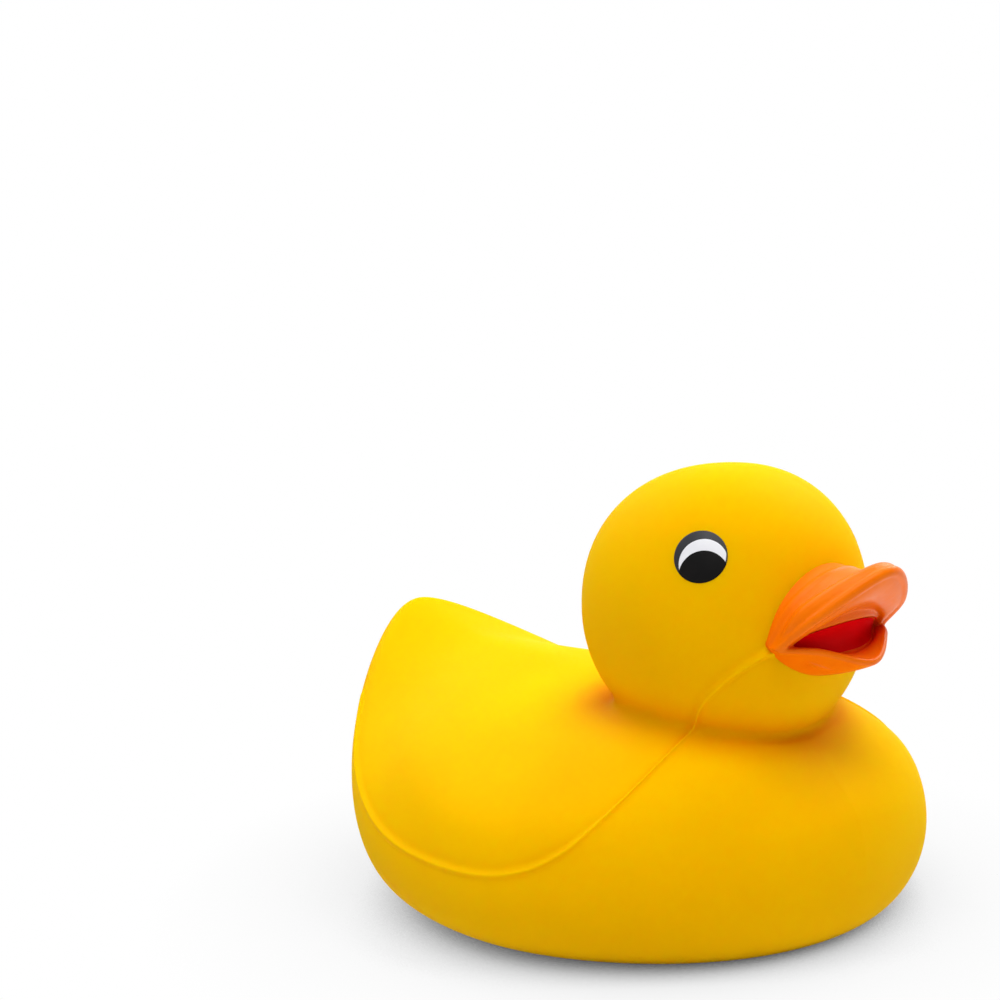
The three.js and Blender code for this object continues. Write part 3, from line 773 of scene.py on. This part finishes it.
def lip_lines(half, shares, alongs):
    """Middle, outer and inner lines of one half of the bill, from the root on the face to the rim."""
    turn = (shares - 0.5) * math.pi
    side, rise = half["side"], half["root_rise"]
    zero = np.zeros_like(turn)
    out = np.stack([zero, rise * np.sin(turn), side * BILL_ROOT_WIDTH / 2 * np.cos(turn)], axis=-1)
    out /= np.linalg.norm(out, axis=-1, keepdims=True)
    upright = np.maximum(np.cos(turn), 0) ** half["root_point"]
    root = np.stack(
        [zero, BILL_ROOT_WIDTH / 2 * np.sin(turn), MOUTH_Z + side * rise * upright], axis=-1
    )
    root -= out * half["lip"] / 2
    root[:, 0] = face_x(root[:, 1], root[:, 2]) - BILL_SINK
    end = rim(half, shares)
    pull = LIP_PULL * np.linalg.norm(end - root, axis=-1, keepdims=True)

    def lean(degrees):
        angle = math.radians(degrees)
        return np.array([math.cos(angle), 0, 0]) + out * math.sin(angle)

    start_pull = root + pull * lean(half["root_angle"])
    end_pull = end - pull * lean(half["rim_angle"])
    controls = [root, start_pull, end_pull, end]
    middle = bezier(controls, alongs)
    tangents = bezier([b - a for a, b in zip(controls, controls[1:])], alongs)
    tangents /= np.linalg.norm(tangents, axis=-1, keepdims=True)
    normals = out[:, None] - tangents * (out[:, None] * tangents).sum(-1, keepdims=True)
    normals /= np.linalg.norm(normals, axis=-1, keepdims=True)
    edge = along_rim(half["beads"][0][1], shares)
    outer = middle + normals * mix(half["lip"], edge[:, None], np.asarray(alongs))[..., None] / 2

    inner_root = np.stack(
        [zero, MOUTH_WIDTH / 2 * np.sin(turn), MOUTH_Z + side * half["inner_rise"] * np.cos(turn)], -1
    )
    inner_root[:, 0] = mouth_wall_x(inner_root[:, 1], inner_root[:, 2]) - MOUTH_SINK
    inner_end = end - normals[:, -1] * edge[:, None] / 2
    forward, sag = half["inner_sag"]
    bend = (inner_root + inner_end) / 2 + (forward, 0, 0) - out * sag
    return middle, outer, bezier([inner_root, bend, inner_end], alongs)


def lip_solid(half, columns=72, rows=28):
    """One half of the bill, filled between its outer sheet and the palate or floor."""
    _, outer, inner = lip_lines(half, np.linspace(0, 1, columns + 1), np.linspace(0, 1, rows + 1))
    loops = np.concatenate([outer, inner[::-1]], axis=0).swapaxes(0, 1)
    return closed_tube(loops[:, ::-1] if half["side"] > 0 else loops)


def bead_solids(half, steps=96, segments=24):
    """The round edge of a rim, and the rolls that stand out of the sheet behind it."""
    shares = np.linspace(0, 1, steps + 1)
    angles = np.linspace(0, 2 * math.pi, segments, endpoint=False)[None, :, None]
    made = []
    middle = lip_lines(half, shares, np.linspace(0, 1, FINE_STEPS + 1))[0]
    for places, sizes in half["beads"]:
        place = np.rint(FINE_STEPS * along_rim(places, shares)).astype(int)
        centres = middle[np.arange(steps + 1), place]
        tangents = np.gradient(centres, axis=0)
        tangents /= np.linalg.norm(tangents, axis=-1, keepdims=True)
        across = np.cross(tangents, (0, 0, 1))
        across /= np.linalg.norm(across, axis=-1, keepdims=True)
        upward = np.cross(across, tangents)
        circles = np.cos(angles) * across[:, None] + np.sin(angles) * upward[:, None]
        radii = along_rim(sizes, shares)[:, None, None] / 2
        made.append(closed_tube(centres[:, None] + radii * circles[:, ::-1]))
    return made


def mouth_oval():
    """Width, height and middle height of the wall at the back of the mouth."""
    rise, drop = HOOD["root_rise"] - HOOD["lip"], SCOOP["root_rise"] - SCOOP["lip"]
    return BILL_ROOT_WIDTH - HOOD["lip"], rise + drop, MOUTH_Z + (rise - drop) / 2


def mouth_wall_x(y, z):
    """Front of that wall, which falls back to the face at the corners of the mouth."""
    return face_x(y, z) + MOUTH_WALL * (1 - (2 * y / CORNER_WIDTH) ** WALL_POWER)


def throat_x(y, z):
    """Front of the wall with the throat pressed into it, as a shallow dish."""
    rest = 1 - (2 * y / THROAT_WIDTH) ** 2 - (2 * (z - THROAT_Z) / THROAT_HEIGHT) ** 2
    return mouth_wall_x(y, z) - THROAT_DEPTH * np.sqrt(np.maximum(rest, 0))


def mouth_wall_solid(rings=64, segments=128):
    """The wall at the back of the mouth, with the throat pressed into it."""
    width, height, middle_z = mouth_oval()
    turns = np.linspace(0, 2 * math.pi, segments, endpoint=False)

    def ring(share, front):
        y = share * width / 2 * np.cos(turns)
        z = middle_z + share * height / 2 * np.sin(turns)
        x = throat_x(y, z) if front else face_x(y, z) - WALL_SINK
        return np.stack([x, y, z], axis=-1)

    front = [ring(share, True) for share in np.linspace(1, RING_CENTRE, rings)]
    return closed_tube([ring(RING_CENTRE, False), ring(1, False), *front])


def make_bill():
    solids = [mouth_wall_solid()]
    for half in (HOOD, SCOOP):
        solids += [lip_solid(half), *bead_solids(half)]
    bill = make_object("bill", *joined(solids))
    remesh = bill.modifiers.new("one_solid", "REMESH")
    remesh.mode = "VOXEL"
    remesh.voxel_size = BILL_VOXEL * MM
    soften = bill.modifiers.new("soften", "SMOOTH")
    soften.iterations = BILL_SMOOTHING
    apply_modifiers(bill)
    return bill


def make_throat(rings=32, segments=96):
    """The red paint in the throat, out to where it meets the wall of the mouth."""
    turns = np.linspace(0, 2 * math.pi, segments, endpoint=False)
    shares = np.linspace(RING_CENTRE, 1, rings)[:, None]
    y = shares * THROAT_WIDTH / 2 * np.cos(turns)
    z = THROAT_Z + shares * THROAT_HEIGHT / 2 * np.sin(turns)
    x = throat_x(y, z) + THROAT_PAINT * (1 - shares**THROAT_PAINT_POWER)
    faces = [face[::-1] for face in ring_faces(rings, segments)]
    faces.append(list(range(segments)))
    return make_object("throat", np.stack([x, y, z], axis=-1), faces)


def circle_reach(directions, offset, diameter):
    """Distance along directions from the origin to a circle about an offset centre."""
    along = directions @ offset
    return along + np.sqrt(np.maximum(along**2 - offset @ offset + (diameter / 2) ** 2, 0))


def eye_film(name, side, start, circles, layer, rings=24, segments=160):
    """One printed film: the shape that all the circles share, laid on the head.

    The start is a place inside all of them, and each circle is (diameter, drop, shift), where drop
    is measured down the head and shift forward round it.
    """
    point, normal = head_place(side * EYE_AZIMUTH, EYE_RISE)
    down = normal * normal[2] - (0, 0, 1)
    down /= np.linalg.norm(down)
    ahead = np.cross(normal, down) * -side
    angles = np.linspace(0, 2 * math.pi, segments, endpoint=False)
    directions = np.stack([np.cos(angles), np.sin(angles)], axis=-1)
    start = np.array(start)
    reach = np.min(
        [circle_reach(directions, np.array(place) - start, size) for size, *place in circles], axis=0
    )
    shares = np.append(np.linspace(1 / rings, 1, rings), 1)
    flat = start + directions * (shares[:, None] * reach)[..., None]
    points = point + flat[..., :1] * down + flat[..., 1:] * ahead
    lifts = np.full(rings + 1, layer * FILM)
    lifts[-1] = -FILM
    laid = onto_head(points.reshape(-1, 3), normal).reshape(points.shape)
    laid = laid + lifts[:, None, None] * normal
    faces = ring_faces(rings + 1, segments) + [list(range(segments))[::-1]]
    if side < 0:
        faces = [face[::-1] for face in faces]
    return make_object(name, laid, faces)


def make_eyes():
    """The films of both eyes, each with its paint and the name of a slot."""
    white = (EYE_WHITE_DIAMETER, EYE_WHITE_DROP, EYE_WHITE_SHIFT)
    inner = (EYE_DIAMETER - 2 * EYE_RING, 0, 0)
    disc = (EYE_DIAMETER, 0, 0)
    pupil = (PUPIL_DIAMETER, PUPIL_DROP, PUPIL_SHIFT)
    films = []
    for side, label in ((1, "left"), (-1, "right")):
        ring = eye_film(f"eye_disc_{label}", side, (0, 0), [disc], 1)
        crescent = eye_film(f"eye_white_{label}", side, (0, 0), [white, inner], 2)
        spot = eye_film(f"pupil_{label}", side, PUPIL_INSIDE, [pupil, disc], 3)
        films.append((ring, "eye_black", "eye_black"))
        films.append((crescent, "eye_white", "eye_white"))
        films.append((spot, "pupil", "eye_black"))
    return films


# Materials


def new_material(name):
    """A material with its node tree, shader and object coordinates."""
    material = bpy.data.materials.new(name)
    material.use_nodes = True
    tree = material.node_tree
    shader = tree.nodes["Principled BSDF"]
    coordinates = tree.nodes.new("ShaderNodeTexCoord")
    return material, tree, shader, coordinates.outputs["Object"]


def noise(tree, coordinates, size, detail=2.0):
    """Noise with features of about this size in millimetres."""
    made = tree.nodes.new("ShaderNodeTexNoise")
    made.inputs["Scale"].default_value = 1 / (size * MM)
    made.inputs["Detail"].default_value = detail
    tree.links.new(coordinates, made.inputs["Vector"])
    return made.outputs["Fac"]


def ramp(tree, factor, low, high):
    """Colours or greys from low to high, over the middle half of a factor."""
    made = tree.nodes.new("ShaderNodeValToRGB")
    for element, place, value in zip(made.color_ramp.elements, (0.25, 0.75), (low, high)):
        element.position = place
        element.color = (*value, 1) if isinstance(value, tuple) else (value, value, value, 1)
    tree.links.new(factor, made.inputs["Fac"])
    return made.outputs["Color"]


def add_bump(tree, shader, height, strength, depth):
    bump = tree.nodes.new("ShaderNodeBump")
    bump.inputs["Strength"].default_value = strength
    bump.inputs["Distance"].default_value = depth * MM
    tree.links.new(height, bump.inputs["Height"])
    tree.links.new(bump.outputs["Normal"], shader.inputs["Normal"])


def painted_shade_in_hollows(tree, plain, painted_shade, reach, openness):
    """A colour that turns into a painted shade where walls of the same piece are within reach, as shade
    falls in creases and grooves.

    The openness is the two shares of open space at which the painted shade starts and is full.
    """
    walls = tree.nodes.new("ShaderNodeAmbientOcclusion")
    walls.only_local = True
    walls.samples = PAINTED_SHADE_SAMPLES
    walls.inputs["Distance"].default_value = reach * MM
    depth = tree.nodes.new("ShaderNodeMapRange")
    depth.inputs["From Min"].default_value, depth.inputs["From Max"].default_value = openness
    tree.links.new(walls.outputs["AO"], depth.inputs["Value"])
    colour = tree.nodes.new("ShaderNodeMix")
    colour.data_type = "RGBA"
    colour.inputs["B"].default_value = (*painted_shade, 1)
    tree.links.new(depth.outputs["Result"], colour.inputs["Factor"])
    tree.links.new(plain, colour.inputs["A"])
    return colour.outputs["Result"]


def foam_material():
    """Matte yellow foam skin: faint blotches, a fine grain, soft light in its depth and painted shade
    in its creases.
    """
    material, tree, shader, place = new_material("foam_skin")
    blotches = ramp(tree, noise(tree, place, FOAM_BLOTCH), FOAM_DARK, FOAM_LIGHT)
    # Painted shade: the foam turns darker orange where its own walls are near, in the crease and other
    # hollows
    colour = painted_shade_in_hollows(tree, blotches, FOAM_PAINTED_SHADE, FOAM_PAINTED_SHADE_REACH, FOAM_PAINTED_SHADE_OPENNESS)
    tree.links.new(colour, shader.inputs["Base Color"])
    pores = ramp(tree, noise(tree, place, FOAM_PORE), *FOAM_ROUGHNESS)
    tree.links.new(pores, shader.inputs["Roughness"])
    grain = noise(tree, place, FOAM_GRAIN, detail=3)
    add_bump(tree, shader, grain, FOAM_GRAIN_STRENGTH, FOAM_GRAIN_DEPTH)
    shader.inputs["Subsurface Weight"].default_value = FOAM_GLOW
    shader.inputs["Subsurface Radius"].default_value = FOAM_GLOW_SHARES
    shader.inputs["Subsurface Scale"].default_value = FOAM_GLOW_REACH * MM
    shader.inputs["Specular IOR Level"].default_value = FOAM_SHEEN
    shader.inputs["Specular Tint"].default_value = (*FOAM_SHEEN_TINT, 1)
    return material


def paint_material(name, dark, light, roughness, grain, sheen, tint=(1, 1, 1), painted_shade=None):
    """Satin paint with faint thick and thin places, a slightly uneven surface, a tinted sheen and,
    where given, painted shade in its hollows.
    """
    material, tree, shader, place = new_material(name)
    shader.inputs["Specular IOR Level"].default_value = sheen
    shader.inputs["Specular Tint"].default_value = (*tint, 1)
    colour = ramp(tree, noise(tree, place, PAINT_BLOTCH, detail=3), dark, light)
    # Painted shade: the paint turns darker where its own walls are near, in grooves and hollows
    if painted_shade:
        colour = painted_shade_in_hollows(tree, colour, painted_shade, PAINT_PAINTED_SHADE_REACH, PAINT_PAINTED_SHADE_OPENNESS)
    tree.links.new(colour, shader.inputs["Base Color"])
    low, high = roughness - PAINT_GLOSS_SPREAD, roughness + PAINT_GLOSS_SPREAD
    tree.links.new(ramp(tree, noise(tree, place, PAINT_GLOSS), low, high), shader.inputs["Roughness"])
    add_bump(tree, shader, noise(tree, place, grain), PAINT_GRAIN_STRENGTH, PAINT_GRAIN_DEPTH)
    return material


def background_rays(tree):
    """1 for the rays that show the background itself: from the camera, off gloss and through glass."""
    rays = tree.nodes.new("ShaderNodeLightPath")
    total = rays.outputs["Is Camera Ray"]
    for name in ("Is Glossy Ray", "Is Transmission Ray"):
        added = tree.nodes.new("ShaderNodeMath")
        added.use_clamp = True
        tree.links.new(total, added.inputs[0])
        tree.links.new(rays.outputs[name], added.inputs[1])
        total = added.outputs["Value"]
    return total


def floor_material():
    """White paper: plain white, with a soft grey shadow where the duck stands close over it."""
    material, tree, shader, _ = new_material("floor")
    shader.inputs["Base Color"].default_value = (*FLOOR_GREY, 1)
    shader.inputs["Roughness"].default_value = FLOOR_ROUGHNESS
    shader.inputs["Specular IOR Level"].default_value = FLOOR_SHEEN
    open_sky = tree.nodes.new("ShaderNodeAmbientOcclusion")
    open_sky.samples = SHADOW_SAMPLES
    open_sky.inputs["Distance"].default_value = SHADOW_REACH * MM
    greys = tree.nodes.new("ShaderNodeValToRGB")
    for share, _ in SHADOW_GREYS[1:-1]:
        greys.color_ramp.elements.new(share)
    for element, (share, grey) in zip(greys.color_ramp.elements, SHADOW_GREYS):
        element.position = share
        element.color = (grey, grey, grey, 1)
    tree.links.new(open_sky.outputs["AO"], greys.inputs["Fac"])
    glow = tree.nodes.new("ShaderNodeEmission")
    tree.links.new(greys.outputs["Color"], glow.inputs["Color"])
    paper = tree.nodes.new("ShaderNodeMixShader")
    tree.links.new(background_rays(tree), paper.inputs["Fac"])
    tree.links.new(shader.outputs["BSDF"], paper.inputs[1])
    tree.links.new(glow.outputs["Emission"], paper.inputs[2])
    tree.links.new(paper.outputs["Shader"], tree.nodes["Material Output"].inputs["Surface"])
    return material


# Studio


def make_floor():
    half = FLOOR_HALF
    floor = make_object(
        "floor",
        [(-half, -half, 0), (half, -half, 0), (half, half, 0), (-half, half, 0)],
        [[0, 1, 2, 3]],
    )
    floor.data.materials.append(floor_material())


def make_world():
    """White all round as a background, and a dimmer white light on the duck."""
    world = bpy.data.worlds.new("studio")
    world.use_nodes = True
    tree = world.node_tree
    background = tree.nodes["Background"]
    level = tree.nodes.new("ShaderNodeMapRange")
    level.inputs["To Min"].default_value = SKY_LIGHT
    level.inputs["To Max"].default_value = SKY_WHITE
    tree.links.new(background_rays(tree), level.inputs["Value"])
    background.inputs["Color"].default_value = (1, 1, 1, 1)
    tree.links.new(level.outputs["Result"], background.inputs["Strength"])
    bpy.context.scene.world = world


def heading(azimuth, elevation):
    """Unit vector in a direction given by angles in degrees."""
    turn, lift = math.radians(azimuth), math.radians(elevation)
    return Vector((math.cos(lift) * math.cos(turn), math.cos(lift) * math.sin(turn), math.sin(lift)))


def make_lamps():
    """Square soft boxes that look at the head."""
    for name, (azimuth, elevation, power) in LAMPS.items():
        lamp = bpy.data.lights.new(name, "AREA")
        lamp.shape = "SQUARE"
        lamp.size = LAMP_SIZE * MM
        lamp.energy = power
        made = bpy.data.objects.new(name, lamp)
        bpy.context.scene.collection.objects.link(made)
        back = heading(azimuth, elevation)
        made.location = (Vector((0, 0, HEAD_Z)) + back * LAMP_DISTANCE) * MM
        made.rotation_euler = back.to_track_quat("Z", "Y").to_euler()


def make_camera():
    camera = bpy.data.cameras.new("camera")
    camera.sensor_width = CAMERA_SENSOR
    camera.lens = CAMERA_LENS
    camera.shift_x, camera.shift_y = CAMERA_SHIFT
    camera.clip_start = CAMERA_NEAR * MM
    back = heading(CAMERA_AZIMUTH, CAMERA_ELEVATION)
    right = heading(CAMERA_AZIMUTH + 90, 0)
    turned = Matrix((right, back.cross(right), back)).transposed()
    roll = Matrix.Rotation(math.radians(CAMERA_ROLL), 3, "Z")
    made = bpy.data.objects.new("camera", camera)
    bpy.context.scene.collection.objects.link(made)
    place = (Vector(CAMERA_TARGET) + back * CAMERA_DISTANCE) * MM
    made.matrix_world = Matrix.Translation(place) @ (turned @ roll).to_4x4()
    bpy.context.scene.camera = made


def dress(piece, material):
    """Gives a piece its material, and lets it move with the duck."""
    piece.data.materials.clear()
    piece.data.materials.append(material)
    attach(piece, "root")


def make_duck():
    paints = {name: paint_material(name, **look) for name, look in PAINTS.items()}
    skin = make_skin()
    dress(skin, foam_material())
    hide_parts("duck")
    dress(make_bill(), paints["bill_paint"])
    dress(make_throat(), paints["mouth_paint"])
    for film, paint, slot in make_eyes():
        dress(film, paints[paint])


bpy.context.scene.view_settings.view_transform = "Standard"
make_duck()
make_floor()
make_world()
make_lamps()
make_camera()
